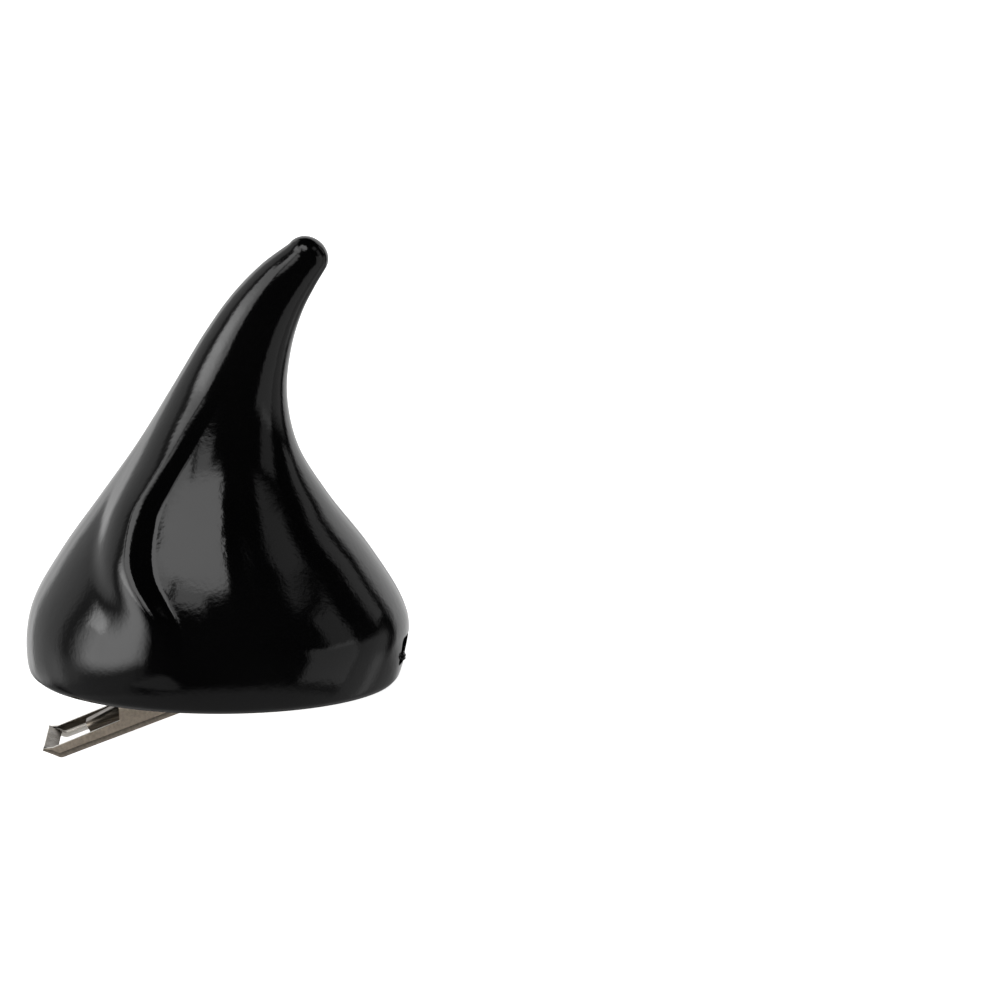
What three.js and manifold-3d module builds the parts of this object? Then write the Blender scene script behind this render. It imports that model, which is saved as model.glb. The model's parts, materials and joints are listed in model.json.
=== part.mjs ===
// Clip-on costume horn: a hollow curved horn with a fold down each side and a sprung clip under its rim.
// Millimetres. The horn's own frame has its rim in the plane z = 0, +X towards the inner side that the
// horn curves to, and +Z up through the horn. The finished part is then set down as it rests on a table,
// on the nose of the clip and one edge of the rim.

import * as THREE from "three";
import { LoftGeometry } from "three/addons/geometries/LoftGeometry.js";
import { mergeVertices } from "three/addons/utils/BufferGeometryUtils.js";
import ManifoldModule from "manifold-3d";

const wasm = await ManifoldModule();
wasm.setup();

// Horn sizes
const WALL = 1.6;
const FLOOR_UNDERSIDE = 5.8;
const FLOOR_THICKNESS = 1.5;
const VENT = { x: -10, radius: 1.5 };
const SLOT = { width: 7.2, height: 3.4, middle_z: 3.4, corner: 0.8, azimuth: -6.5 };
const SLOT_BAR = { from_radius: 19, length: 7 };
const TIP_LENGTH = 2.3;
const CUT_THROUGH = 2;

// Horn outline, one row per section from the rim to the tip. The outer and inner ends of a section lie in
// the plane of the curve, and half_depth is measured across that plane.
const SECTIONS = [
  { outer_x: -21.7, outer_z: 0.0, inner_x: 21.5, inner_z: -0.7, half_depth: 20.9 },
  { outer_x: -22.4, outer_z: 0.75, inner_x: 22.0, inner_z: 0.0, half_depth: 21.7 },
  { outer_x: -22.7, outer_z: 4.6, inner_x: 23.1, inner_z: 5.4, half_depth: 22.9 },
  { outer_x: -21.9, outer_z: 8.7, inner_x: 22.4, inner_z: 8.4, half_depth: 22.1 },
  { outer_x: -18.4, outer_z: 14.9, inner_x: 18.5, inner_z: 14.9, half_depth: 18.4 },
  { outer_x: -13.6, outer_z: 21.6, inner_x: 13.4, inner_z: 21.6, half_depth: 13.5 },
  { outer_x: -9.2, outer_z: 27.8, inner_x: 9.9, inner_z: 27.6, half_depth: 9.6 },
  { outer_x: -4.9, outer_z: 34.7, inner_x: 8.7, inner_z: 33.8, half_depth: 6.8 },
  { outer_x: -0.95, outer_z: 41.2, inner_x: 9.3, inner_z: 39.4, half_depth: 5.3 },
  { outer_x: 2.4, outer_z: 45.8, inner_x: 10.6, inner_z: 43.6, half_depth: 4.3 },
  { outer_x: 5.85, outer_z: 49.3, inner_x: 12.0, inner_z: 46.4, half_depth: 3.5 },
  { outer_x: 9.1, outer_z: 51.7, inner_x: 13.3, inner_z: 48.6, half_depth: 2.7 },
];

// Fold down each side of the horn, alike on its front and back, one row per height. Azimuth is 0 at the
// inner side and 180 at the outer side. The fold's wall starts at the row's azimuth and climbs to its height.
const FOLD = [
  { z: 3.0, azimuth: 98.0, height: 0.0 },
  { z: 9.6, azimuth: 100.0, height: 1.3 },
  { z: 12.4, azimuth: 104.5, height: 2.1 },
  { z: 15.0, azimuth: 110.0, height: 2.5 },
  { z: 17.5, azimuth: 113.5, height: 2.6 },
  { z: 21.9, azimuth: 116.0, height: 2.3 },
  { z: 25.0, azimuth: 113.0, height: 1.8 },
  { z: 28.0, azimuth: 108.0, height: 1.2 },
  { z: 31.5, azimuth: 102.0, height: 0.75 },
  { z: 35.0, azimuth: 95.0, height: 0.25 },
  { z: 39.0, azimuth: 88.0, height: 0.0 },
];
const FOLD_RUN = { wall: 2.3, back: 8.0 };

// Clip sizes
const SHEET = 0.55;
const JAW_WIDTH = 11.6;
const SIDE_GAP = 0.3;
const ARM_WIDTH = JAW_WIDTH - 2 * SHEET - 2 * SIDE_GAP;
const PRONG_WIDTH = 3.4;
const PIN = { x: 5.0, z: 2.15, radius: 0.7, hole: 0.9, head_radius: 1.2, head: 0.5, head_gap: 0.2 };

// Underside of the jaw's bent strip, side view, from the flap at its nose to the end of its thumb pad
const JAW_STRIP = [
  { x: -20.5, z: -8.4 },
  { x: -18.4, z: -9.37 },
  { x: 5.0, z: -0.44 },
  { x: 17.0, z: -0.44 },
];
const JAW_PAD = { from_x: 5.8, width: 10.5 };
const JAW_WINDOW = { from_x: -19.0, to_x: -9.6, width: 10.8 };

// Jaw wall, seen from the side along the sloping floor: how far from the nose, and how high
const JAW_WALL = { flap_along: -1.6, flap_high: 1.65, step_along: 8.1, low: 1.88, step_run: 0.5, tall: 3.4 };
const JAW_LOBE = 2.0;

// Top of the arm's bent strip, side view, from the end of the prong to the end of its pad
const ARM_STRIP = [
  { x: -15.76, z: -5.98 },
  { x: 6.36, z: 5.5 },
  { x: 19.0, z: 5.5 },
];
const ARM_SHOULDER = { from_x: -3.2, to_x: -1.4 };
const ARM_PAD = { neck_x: 6.2, from_x: 7.2, width: 10.5 };
const PRONG_FLANGE = { end: 1.6, root: 2.4 };
const ARM_EAR = { from_x: 2.2, to_x: 7.6, lobe: 1.5 };

// Spring sizes
const SPRING = { wire: 0.28, coil: 1.25, length: 6.4, full_turns: 5 };
const SPRING_LEG = { x: 12.5, upper_z: 4.4, lower_z: 0.66 };

// Facets
const AROUND_OUTSIDE = 72;
const AROUND_INSIDE = 40;
const STEPS_OUTSIDE = 3;
const STEPS_INSIDE = 2;
const CAP_RINGS = 4;
const CAP_SHORT_OF_POLE = 0.5;
const ARC_FACETS = 12;
const CORNER_FACETS = 3;
const WIRE_FACETS = 6;
const COIL_FACETS = 14;

const FAR = 60;
const SAME_POINT = 1e-4;
const DEGREE = Math.PI / 180;

const horn_plastic = new THREE.MeshStandardMaterial({ color: 0x0b0b0c, roughness: 0.16, metalness: 0 });
const nickel = new THREE.MeshStandardMaterial({ color: 0xa9a39a, roughness: 0.32, metalness: 1 });
const spring_steel = new THREE.MeshStandardMaterial({ color: 0x8c8b88, roughness: 0.3, metalness: 1 });

// Turns a closed geometry into a solid, with its shared corners merged and its collapsed facets dropped
function solid(geometry) {
  const bare = new THREE.BufferGeometry();
  bare.setAttribute("position", geometry.getAttribute("position"));
  if (geometry.index) bare.setIndex(geometry.index);
  const merged = mergeVertices(bare, SAME_POINT);
  const facets = [];
  const index = merged.index.array;
  for (let i = 0; i < index.length; i += 3) {
    const [a, b, c] = [index[i], index[i + 1], index[i + 2]];
    if (a !== b && b !== c && c !== a) facets.push(a, b, c);
  }
  return new wasm.Manifold(new wasm.Mesh({
    numProp: 3,
    vertProperties: new Float32Array(merged.getAttribute("position").array),
    triVerts: new Uint32Array(facets),
  }));
}

function box(from, to) {
  const size = to.clone().sub(from);
  const geometry = new THREE.BoxGeometry(size.x, size.y, size.z);
  geometry.translate((from.x + to.x) / 2, (from.y + to.y) / 2, (from.z + to.z) / 2);
  return solid(geometry);
}

// Solid between two values of y, from a shape drawn in side view with x across and z up
function sideSolid(shape, from_y, to_y) {
  const settings = { depth: to_y - from_y, bevelEnabled: false, curveSegments: ARC_FACETS };
  const geometry = new THREE.ExtrudeGeometry(shape, settings);
  geometry.rotateX(Math.PI / 2);
  geometry.translate(0, to_y, 0);
  return solid(geometry);
}

// Tall solid from a shape drawn in plan
function planSolid(shape) {
  const settings = { depth: 2 * FAR, bevelEnabled: false, curveSegments: ARC_FACETS };
  const geometry = new THREE.ExtrudeGeometry(shape, settings);
  geometry.translate(0, 0, -FAR);
  return solid(geometry);
}

function shapeOf(points) {
  return new THREE.Shape(points.map((point) => new THREE.Vector2(point.x, point.z)));
}

// Points of a bent line moved sideways by a distance, mitred at its bends
function offsetLine(line, distance) {
  const normal = (a, b) => new THREE.Vector2(a.z - b.z, b.x - a.x).normalize();
  return line.map((point, i) => {
    const before = normal(line[Math.max(i - 1, 0)], line[Math.max(i, 1)]);
    const after = normal(line[Math.min(i, line.length - 2)], line[Math.min(i + 1, line.length - 1)]);
    const mitre = before.clone().add(after).normalize();
    const reach = distance / mitre.dot(before);
    return { x: point.x + mitre.x * reach, z: point.z + mitre.y * reach };
  });
}

// Strip of sheet bent along a line in side view, its thickness to the left of the line
function bentStrip(line, thickness, width) {
  const outline = [...line, ...offsetLine(line, thickness).reverse()];
  return sideSolid(shapeOf(outline), -width / 2, width / 2);
}

// The same wall on both sides of the clip, its outer face at half the given width
function pairOfWalls(shape, width) {
  const near = sideSolid(shape, -width / 2, -width / 2 + SHEET);
  const far = sideSolid(shape, width / 2 - SHEET, width / 2);
  return near.add(far);
}

function pinHole() {
  const circle = new THREE.Shape();
  circle.absarc(PIN.x, PIN.z, PIN.hole, 0, 2 * Math.PI);
  return sideSolid(circle, -JAW_WIDTH, JAW_WIDTH);
}

// The fold's row at a height, between the rows of its table
function foldAt(z) {
  const next = FOLD.findIndex((row) => row.z >= z);
  if (next <= 0) return next === 0 ? FOLD[0] : FOLD[FOLD.length - 1];
  const [before, after] = [FOLD[next - 1], FOLD[next]];
  const share = (z - before.z) / (after.z - before.z);
  return {
    azimuth: THREE.MathUtils.lerp(before.azimuth, after.azimuth, share),
    height: THREE.MathUtils.lerp(before.height, after.height, share),
  };
}

// How far the fold lifts the horn's surface at an azimuth in degrees and a height
function foldLift(azimuth, z, half_depth) {
  const side = Math.abs(((azimuth + 180) % 360) - 180);
  const fold = foldAt(z);
  const past_edge = (side - fold.azimuth) * DEGREE * half_depth;
  const climb = THREE.MathUtils.smoothstep(past_edge, 0, FOLD_RUN.wall);
  const fall = THREE.MathUtils.smoothstep(past_edge, FOLD_RUN.wall, FOLD_RUN.wall + FOLD_RUN.back);
  return fold.height * climb * (1 - fall);
}

// Rings of points round the horn from the rim to the tip, moved inwards by an inset. A hollow is led on
// below the rim, so that it opens there.
function hornRings({ around, steps, inset = 0, lead = 0, folded = false }) {
  const rail = (side) => {
    const pointOf = (row) => new THREE.Vector3(row[`${side}_x`], row.half_depth, row[`${side}_z`]);
    return new THREE.CatmullRomCurve3(SECTIONS.map(pointOf), false, "centripetal");
  };
  const outer_rail = rail("outer");
  const inner_rail = rail("inner");
  const ringAt = (along, shrink, rise) => {
    const outer = outer_rail.getPoint(along);
    const inner = inner_rail.getPoint(along);
    const middle = new THREE.Vector3((outer.x + inner.x) / 2, 0, (outer.z + inner.z) / 2);
    const across = new THREE.Vector3(inner.x - outer.x, 0, inner.z - outer.z).normalize();
    const spine = new THREE.Vector3(-across.z, 0, across.x);
    const half_width = Math.hypot(inner.x - outer.x, inner.z - outer.z) / 2;
    const points = [];
    for (let i = 0; i < around; i += 1) {
      const angle = (i / around) * 2 * Math.PI;
      const lift = folded ? foldLift(angle / DEGREE, middle.z, outer.y) : 0;
      const point = middle.clone().addScaledVector(spine, rise);
      point.addScaledVector(across, (half_width - inset + lift) * shrink * Math.cos(angle));
      point.y += (outer.y - inset + lift) * shrink * Math.sin(angle);
      points.push(point);
    }
    return points;
  };
  const rings = lead > 0 ? [ringAt(0, 1, -lead)] : [];
  const count = (SECTIONS.length - 1) * steps;
  for (let i = 0; i <= count; i += 1) rings.push(ringAt(i / count, 1, 0));
  for (let i = 1; i <= CAP_RINGS; i += 1) {
    const turn = (i / (CAP_RINGS + CAP_SHORT_OF_POLE)) * (Math.PI / 2);
    rings.push(ringAt(1, Math.cos(turn), (TIP_LENGTH - inset) * Math.sin(turn)));
  }
  return rings;
}

function hornSolid(settings) {
  return solid(new LoftGeometry(hornRings(settings), { capStart: true, capEnd: true }));
}

function hornShell() {
  const outside = hornSolid({ around: AROUND_OUTSIDE, steps: STEPS_OUTSIDE, folded: true });
  const inside = hornSolid({ around: AROUND_INSIDE, steps: STEPS_INSIDE, inset: WALL, lead: CUT_THROUGH });
  const floor_top = FLOOR_UNDERSIDE + FLOOR_THICKNESS;
  const floor = box(new THREE.Vector3(-FAR, -FAR, FLOOR_UNDERSIDE), new THREE.Vector3(FAR, FAR, floor_top));
  const vent = new THREE.Shape();
  vent.absarc(VENT.x, 0, VENT.radius, 0, 2 * Math.PI);
  const hollow = inside.subtract(floor.subtract(planSolid(vent)));
  return outside.subtract(hollow).subtract(slotCut());
}

// Round-cornered bar that cuts the slot through the inner wall
function slotCut() {
  const { width, height, corner } = SLOT;
  const shape = new THREE.Shape();
  shape.moveTo(-width / 2 + corner, -height / 2);
  shape.lineTo(width / 2 - corner, -height / 2);
  shape.absarc(width / 2 - corner, -height / 2 + corner, corner, -Math.PI / 2, 0);
  shape.absarc(width / 2 - corner, height / 2 - corner, corner, 0, Math.PI / 2);
  shape.absarc(-width / 2 + corner, height / 2 - corner, corner, Math.PI / 2, Math.PI);
  shape.absarc(-width / 2 + corner, -height / 2 + corner, corner, Math.PI, 1.5 * Math.PI);
  const settings = { depth: SLOT_BAR.length, bevelEnabled: false, curveSegments: CORNER_FACETS };
  const geometry = new THREE.ExtrudeGeometry(shape, settings);
  geometry.rotateY(Math.PI / 2);
  geometry.rotateX(Math.PI / 2);
  geometry.translate(SLOT_BAR.from_radius, 0, SLOT.middle_z);
  geometry.rotateZ(SLOT.azimuth * DEGREE);
  return solid(geometry);
}

// Outline in plan of a strip that changes width along X and ends in a half round
function padOutline(steps, end_x) {
  const shape = new THREE.Shape();
  const last = steps[steps.length - 1].half_width;
  steps.forEach(({ x, half_width }, i) => (i ? shape.lineTo(x, -half_width) : shape.moveTo(x, -half_width)));
  shape.absarc(end_x - last, 0, last, -Math.PI / 2, Math.PI / 2);
  [...steps].reverse().forEach(({ x, half_width }) => shape.lineTo(x, half_width));
  return planSolid(shape);
}

function clipJaw() {
  const [, nose, bend, pad_end] = JAW_STRIP;
  const slope = Math.atan2(bend.z - nose.z, bend.x - nose.x);
  const onJaw = (along, high) => ({
    x: nose.x + along * Math.cos(slope) - high * Math.sin(slope),
    z: nose.z + along * Math.sin(slope) + high * Math.cos(slope),
  });
  const step_top = onJaw(JAW_WALL.step_along + JAW_WALL.step_run, JAW_WALL.tall);
  const wall = shapeOf([
    nose,
    bend,
    { x: PIN.x, z: PIN.z },
    { x: PIN.x - JAW_LOBE * Math.sin(slope), z: PIN.z + JAW_LOBE * Math.cos(slope) },
    step_top,
    onJaw(JAW_WALL.step_along, JAW_WALL.low),
    onJaw(JAW_WALL.flap_along, JAW_WALL.flap_high),
  ]);
  const lobe = new THREE.Shape();
  lobe.absarc(PIN.x, PIN.z, JAW_LOBE, 0, 2 * Math.PI);
  const outline = padOutline([
    { x: -FAR, half_width: JAW_WIDTH / 2 },
    { x: JAW_PAD.from_x, half_width: JAW_WIDTH / 2 },
    { x: JAW_PAD.from_x + SHEET, half_width: JAW_PAD.width / 2 },
  ], pad_end.x);
  const window_half = JAW_WINDOW.width / 2;
  const window = box(
    new THREE.Vector3(JAW_WINDOW.from_x, -window_half, -FAR),
    new THREE.Vector3(JAW_WINDOW.to_x, window_half, FAR),
  );
  const strip = bentStrip(JAW_STRIP, SHEET, JAW_WIDTH).intersect(outline).subtract(window);
  return strip.add(pairOfWalls(wall, JAW_WIDTH)).add(pairOfWalls(lobe, JAW_WIDTH)).subtract(pinHole());
}

function clipArm() {
  const [prong_end, bend, pad_end] = ARM_STRIP;
  const rise = (bend.z - prong_end.z) / (bend.x - prong_end.x);
  const topAt = (x) => prong_end.z + rise * (x - prong_end.x);
  const outline = padOutline([
    { x: -FAR, half_width: PRONG_WIDTH / 2 },
    { x: ARM_SHOULDER.from_x, half_width: PRONG_WIDTH / 2 },
    { x: ARM_SHOULDER.to_x, half_width: ARM_WIDTH / 2 },
    { x: ARM_PAD.neck_x, half_width: ARM_WIDTH / 2 },
    { x: ARM_PAD.from_x, half_width: ARM_PAD.width / 2 },
  ], pad_end.x);
  const strip = bentStrip([...ARM_STRIP].reverse(), SHEET, JAW_WIDTH).intersect(outline);
  const root_x = ARM_SHOULDER.to_x;
  const flange = shapeOf([
    prong_end,
    { x: prong_end.x, z: prong_end.z - PRONG_FLANGE.end },
    { x: root_x, z: topAt(root_x) - PRONG_FLANGE.root },
    { x: root_x, z: topAt(root_x) },
  ]);
  const ear = shapeOf([
    { x: ARM_EAR.from_x, z: topAt(ARM_EAR.from_x) },
    { x: PIN.x - ARM_EAR.lobe, z: PIN.z },
    { x: PIN.x + ARM_EAR.lobe, z: PIN.z },
    { x: ARM_EAR.to_x, z: bend.z },
    bend,
  ]);
  const lobe = new THREE.Shape();
  lobe.absarc(PIN.x, PIN.z, ARM_EAR.lobe, 0, 2 * Math.PI);
  const ears = pairOfWalls(ear, ARM_WIDTH).add(pairOfWalls(lobe, ARM_WIDTH));
  return strip.add(pairOfWalls(flange, PRONG_WIDTH)).add(ears).subtract(pinHole());
}

function clipPin() {
  const shoulder = JAW_WIDTH / 2 + PIN.head_gap;
  const end = shoulder + PIN.head;
  const profile = [
    [0, -end], [PIN.head_radius, -end], [PIN.head_radius, -shoulder], [PIN.radius, -shoulder],
    [PIN.radius, shoulder], [PIN.head_radius, shoulder], [PIN.head_radius, end], [0, end],
  ].map(([radius, along]) => new THREE.Vector2(radius, along));
  const geometry = new THREE.LatheGeometry(profile, 2 * ARC_FACETS);
  geometry.translate(PIN.x, 0, PIN.z);
  return solid(geometry);
}

function clipSpring() {
  const turn = Math.PI + SPRING.full_turns * 2 * Math.PI;
  const points = [new THREE.Vector3(SPRING_LEG.x, -SPRING.length / 2, SPRING_LEG.lower_z)];
  const count = Math.round((turn / (2 * Math.PI)) * COIL_FACETS);
  for (let i = 0; i <= count; i += 1) {
    const angle = -Math.PI / 2 - (i / count) * turn;
    points.push(new THREE.Vector3(
      PIN.x + SPRING.coil * Math.cos(angle),
      (i / count - 0.5) * SPRING.length,
      PIN.z + SPRING.coil * Math.sin(angle),
    ));
  }
  points.push(new THREE.Vector3(SPRING_LEG.x, SPRING.length / 2, SPRING_LEG.upper_z));
  const rings = points.map((point, i) => {
    const ahead = points[Math.min(i + 1, points.length - 1)];
    const behind = points[Math.max(i - 1, 0)];
    const along = ahead.clone().sub(behind).normalize();
    const side = new THREE.Vector3(0, 1, 0).addScaledVector(along, -along.y).normalize();
    const up = along.clone().cross(side);
    const ring = [];
    for (let j = 0; j < WIRE_FACETS; j += 1) {
      const angle = (j / WIRE_FACETS) * 2 * Math.PI;
      const across = side.clone().multiplyScalar(SPRING.wire * Math.cos(angle));
      ring.push(point.clone().add(across).addScaledVector(up, SPRING.wire * Math.sin(angle)));
    }
    return ring;
  });
  return solid(new LoftGeometry(rings, { capStart: true, capEnd: true }));
}

function mesh(name, manifold, material) {
  const { vertProperties, triVerts } = manifold.getMesh();
  const geometry = new THREE.BufferGeometry();
  geometry.setAttribute("position", new THREE.BufferAttribute(new Float32Array(vertProperties), 3));
  geometry.setIndex(new THREE.BufferAttribute(new Uint32Array(triVerts), 1));
  geometry.computeVertexNormals();
  const node = new THREE.Mesh(geometry, material);
  node.name = name;
  return node;
}

// Sets the horn down on the nose of its clip and the inner edge of its rim
function setDown(horn) {
  const [, nose] = JAW_STRIP;
  const [rim] = SECTIONS;
  horn.rotation.y = Math.atan2(rim.inner_z - nose.z, rim.inner_x - nose.x);
  horn.updateMatrixWorld(true);
  const bounds = new THREE.Box3().setFromObject(horn, true);
  const middle = bounds.getCenter(new THREE.Vector3());
  horn.position.set(-middle.x, -middle.y, -bounds.min.z);
}

const horn = new THREE.Group();
horn.name = "resting_horn";
horn.add(
  mesh("horn_shell", hornShell(), horn_plastic),
  mesh("clip_arm", clipArm(), nickel),
  mesh("clip_jaw", clipJaw(), nickel),
  mesh("clip_pin", clipPin(), nickel),
  mesh("clip_spring", clipSpring(), spring_steel),
);
setDown(horn);

const part = new THREE.Group();
part.name = "costume_horn";
part.add(horn);

export default part;
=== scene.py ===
"""Clip-on costume horn: the looks of a glossy moulded horn and its sheet metal hair clip.

Shapes are worked out in the horn's own frame, in millimetres, with the rim near z = 0, +X towards the inner
side and +Z up through the horn. They are then set into the row frame, in metres.
"""

import json
import math

import bmesh
import bpy
import numpy as np
from mathutils import Matrix, Vector


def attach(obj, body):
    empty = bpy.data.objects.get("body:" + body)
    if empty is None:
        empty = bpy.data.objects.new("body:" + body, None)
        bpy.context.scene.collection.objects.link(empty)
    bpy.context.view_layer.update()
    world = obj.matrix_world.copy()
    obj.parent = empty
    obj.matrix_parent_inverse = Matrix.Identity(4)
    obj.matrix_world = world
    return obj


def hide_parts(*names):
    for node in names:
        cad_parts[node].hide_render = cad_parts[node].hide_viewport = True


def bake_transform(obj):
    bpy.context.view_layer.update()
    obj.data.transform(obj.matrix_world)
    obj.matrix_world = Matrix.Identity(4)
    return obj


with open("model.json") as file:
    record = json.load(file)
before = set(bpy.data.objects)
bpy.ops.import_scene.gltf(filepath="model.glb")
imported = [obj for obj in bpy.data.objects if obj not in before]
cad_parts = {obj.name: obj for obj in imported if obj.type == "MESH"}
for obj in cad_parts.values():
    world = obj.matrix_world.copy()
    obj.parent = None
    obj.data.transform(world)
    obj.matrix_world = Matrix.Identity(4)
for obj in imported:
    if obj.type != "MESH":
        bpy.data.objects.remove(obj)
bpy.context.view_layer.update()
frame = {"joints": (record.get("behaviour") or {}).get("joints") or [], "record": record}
MM = 0.001

# Horn sizes
WALL = 1.6
RIM_ROUND = 0.08
FLOOR_UNDERSIDE = 5.8
FLOOR_THICKNESS = 1.5
FLOOR_FILLET = 0.8
TIP_LENGTH = 2.3
VENT = {"x": -10.0, "radius": 1.5}
SLOT = {"width": 7.2, "height": 3.4, "middle_z": 3.4, "corner": 0.8, "azimuth": -6.5}
SLOT_BAR = {"from_radius": 19.0, "length": 7.0, "corner_points": 7}

# Ragged bit of moulding flash on the slot's lower edge: its middle, half sizes and waves round and up it
FLASH = {"middle": (22.25, -5.2, 2.85), "half": (0.35, 0.45, 0.6), "rough": 0.3, "rings": 14, "sides": 20}
FLASH_WAVES = ((3, 4), (2, -5))

# Horn outline, one row per section from the rim to the tip
SECTION_COLUMNS = ("outer_x", "outer_z", "inner_x", "inner_z", "half_depth")
SECTIONS = [
    (-21.7, 0.0, 21.5, -0.7, 20.9),
    (-22.4, 0.75, 22.0, 0.0, 21.7),
    (-22.7, 4.6, 23.1, 5.4, 22.9),
    (-21.9, 8.7, 22.4, 8.4, 22.1),
    (-18.4, 14.9, 18.5, 14.9, 18.4),
    (-13.6, 21.6, 13.4, 21.6, 13.5),
    (-9.2, 27.8, 9.9, 27.6, 9.6),
    (-4.9, 34.7, 8.7, 33.8, 6.8),
    (-0.95, 41.2, 9.3, 39.4, 5.3),
    (2.4, 45.8, 10.6, 43.6, 4.3),
    (5.85, 49.3, 12.0, 46.4, 3.5),
    (9.1, 51.7, 13.3, 48.6, 2.7),
]

# Fold down each side of the horn: where its wall starts and how high it is, by height on the horn
FOLD_COLUMNS = ("z", "azimuth", "height")
FOLD = [
    (3.0, 98.0, 0.0),
    (9.6, 100.0, 1.3),
    (12.4, 104.5, 2.1),
    (15.0, 110.0, 2.5),
    (17.5, 113.5, 2.6),
    (21.9, 116.0, 2.3),
    (25.0, 113.0, 1.8),
    (28.0, 108.0, 1.2),
    (31.5, 102.0, 0.75),
    (35.0, 95.0, 0.25),
    (39.0, 88.0, 0.0),
]
FOLD_RUN = {"wall": 2.3, "crease": 0.5, "back": 8.0}

# Low swelling between the fold and the middle of the side
LOBE = {"low_z": 8.5, "crest_z": 14.2, "high_z": 27.0, "start": 72.0, "full": 84.0, "height": 0.45}

# Parting line along the curve
SEAM = {"depth": 0.09, "half_angle": 0.55}

# Fineness of the horn's mesh: angles round it, then rows on each stretch of skin after the place of the first
ANGLE_STEPS = {"coarse": 2.4, "fine": 0.8, "fine_from": 66.0, "fine_to": 148.0}
SEAM_POINTS = (-1.6, -1.0, -0.5, 0.0, 0.5, 1.0, 1.6)
TIP_TURNS = {"first": 86.0, "last": 6.0, "rows": 13}
OUTSIDE_ROWS = 180
RIM_INSETS = (0.25, 0.55, 0.85, 1.15, 1.4, WALL)
FILLET_TURNS = (15.0, 30.0, 45.0, 60.0, 75.0, 90.0)
STRETCHES = {"recess": (0.06, 10), "underside": (0.12, 9), "top": (0.0, 7), "hollow": (0.03, 20)}
CURVE_STEPS = 200
FLOOR_SEARCH = 0.5

# Clip sizes
SHEET = 0.55
BEND = 0.55
BEND_SHARE = 0.75
SHEET_EDGE = 0.09
PIN = {"x": 5.0, "z": 2.15, "radius": 0.7, "neck": 0.1}
PIN_HEAD = {"radius": 1.2, "height": 0.5, "gap": 0.2, "crown": 0.08}
JAW_WIDTH = 11.6
JAW_STRIP = [(-20.5, -8.4), (-18.4, -9.37), (5.0, -0.44), (17.0, -0.44)]
JAW_STRIP_BEND = 0.7
JAW_PAD_WIDTH = 10.5
JAW_WINDOW = {"from": -0.46, "to": 9.4}
JAW_WALL = [(-1.6, 1.65), (8.1, 1.88), (8.6, 3.4)]
JAW_LOBE = 2.0
ARM_STRIP = [(-15.76, -5.98), (6.36, 5.5), (19.0, 5.5)]
ARM_STRIP_BEND = 1.0
ARM_HALF_WIDTHS = [(-15.76, 1.7), (-3.2, 1.7), (-1.4, 4.95), (7.4, 4.95)]
ARM_FLANGE = [(-15.76, 1.6), (-1.4, 2.4), (0.6, 1.1), (7.4, 1.1)]
ARM_PAD_WIDTH = 10.5
ARM_EAR = 1.5
PAST_EAR = 0.1
SPRING = {"wire": 0.28, "coil": 1.25, "length": 6.4, "full_turns": 5}
SPRING_LEG = {"x": 12.5, "upper_z": 4.4, "lower_z": 0.66}

# Fineness of the clip's meshes: points across a channel, then rows along each stretch of the clip
WALL_POINTS = 5
BEND_TURNS = (22.5, 45.0, 67.5)
FLAT_FROM = WALL_POINTS + len(BEND_TURNS)
FLAT_COLUMNS = (-1.0, -0.955, -0.64, -0.32, 0.0)
STRIP_BEND_ROWS = 6
JAW_ROWS = {"window": 10, "to_pin": 14, "ear": 7}
ARM_ROWS = {"length": 30, "widening": 6, "ear": 9}
ROUND_END_ROWS = 14
ROUND_END_SHARE = 0.999
PLACE_DIGITS = 4
EDGE_BEVEL = {"segments": 2, "sharper_than": 50.0}
DOME_TURNS = (75.0, 60.0, 45.0, 30.0, 15.0, 0.0)
PIN_SIDES = 40
SPRING_ROWS = 170
SPRING_SIDES = 10

# Edges that bend more than this many degrees stay sharp
SHARP = {"horn": 45.0, "sheet": 40.0, "pin": 40.0, "spring": 50.0}

# Photograph: pixels per millimetre at the rim's middle, where that point is, and the view of it
PHOTO_SIDE = 1000
PHOTO_SCALE = 8.33
RIM_MIDDLE_PX = (217.0, 670.5)
VIEW_AZIMUTH = 1.5
VIEW_ELEVATION = 13.0
CAMERA_DISTANCE = 600.0
SENSOR = 36.0
CLIP_START = 0.01


def row_matrix():
    """Turns the horn's own frame, in millimetres, into the row frame, in metres."""
    hinge = next(joint for joint in frame["joints"] if joint["name"] == "jaw_open")
    grip = next(mount for mount in frame["record"]["mounts"] if mount["name"] == "hair_grip")
    tilt = math.atan2(grip["axis"][2], -grip["axis"][0])
    to_pin = Matrix.Translation((-PIN["x"], 0, -PIN["z"]))
    return Matrix.Translation(hinge["pos_m"]) @ Matrix.Rotation(tilt, 4, "Y") @ Matrix.Scale(MM, 4) @ to_pin


TO_ROW = row_matrix()


# Meshes

def set_in_row(points):
    """Points of the horn's frame as an array in the row frame."""
    matrix = np.array(TO_ROW)
    return np.asarray(points, float) @ matrix[:3, :3].T + matrix[:3, 3]


def new_piece(name, points, faces, material):
    mesh = bpy.data.meshes.new(name)
    mesh.from_pydata(set_in_row(points).tolist(), [], faces)
    mesh.update()
    mesh.shade_smooth()
    piece = bpy.data.objects.new(name, mesh)
    bpy.context.scene.collection.objects.link(piece)
    if material is not None:
        mesh.materials.append(material)
    return piece


def apply_modifiers(piece):
    """Leaves the piece with the mesh that its modifiers make."""
    depsgraph = bpy.context.evaluated_depsgraph_get()
    made = bpy.data.meshes.new_from_object(piece.evaluated_get(depsgraph))
    piece.modifiers.clear()
    piece.data = made
    return piece


def soften(piece, sharp_degrees):
    piece.data.shade_smooth()
    piece.data.set_sharp_from_angle(angle=math.radians(sharp_degrees))
    return piece


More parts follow.
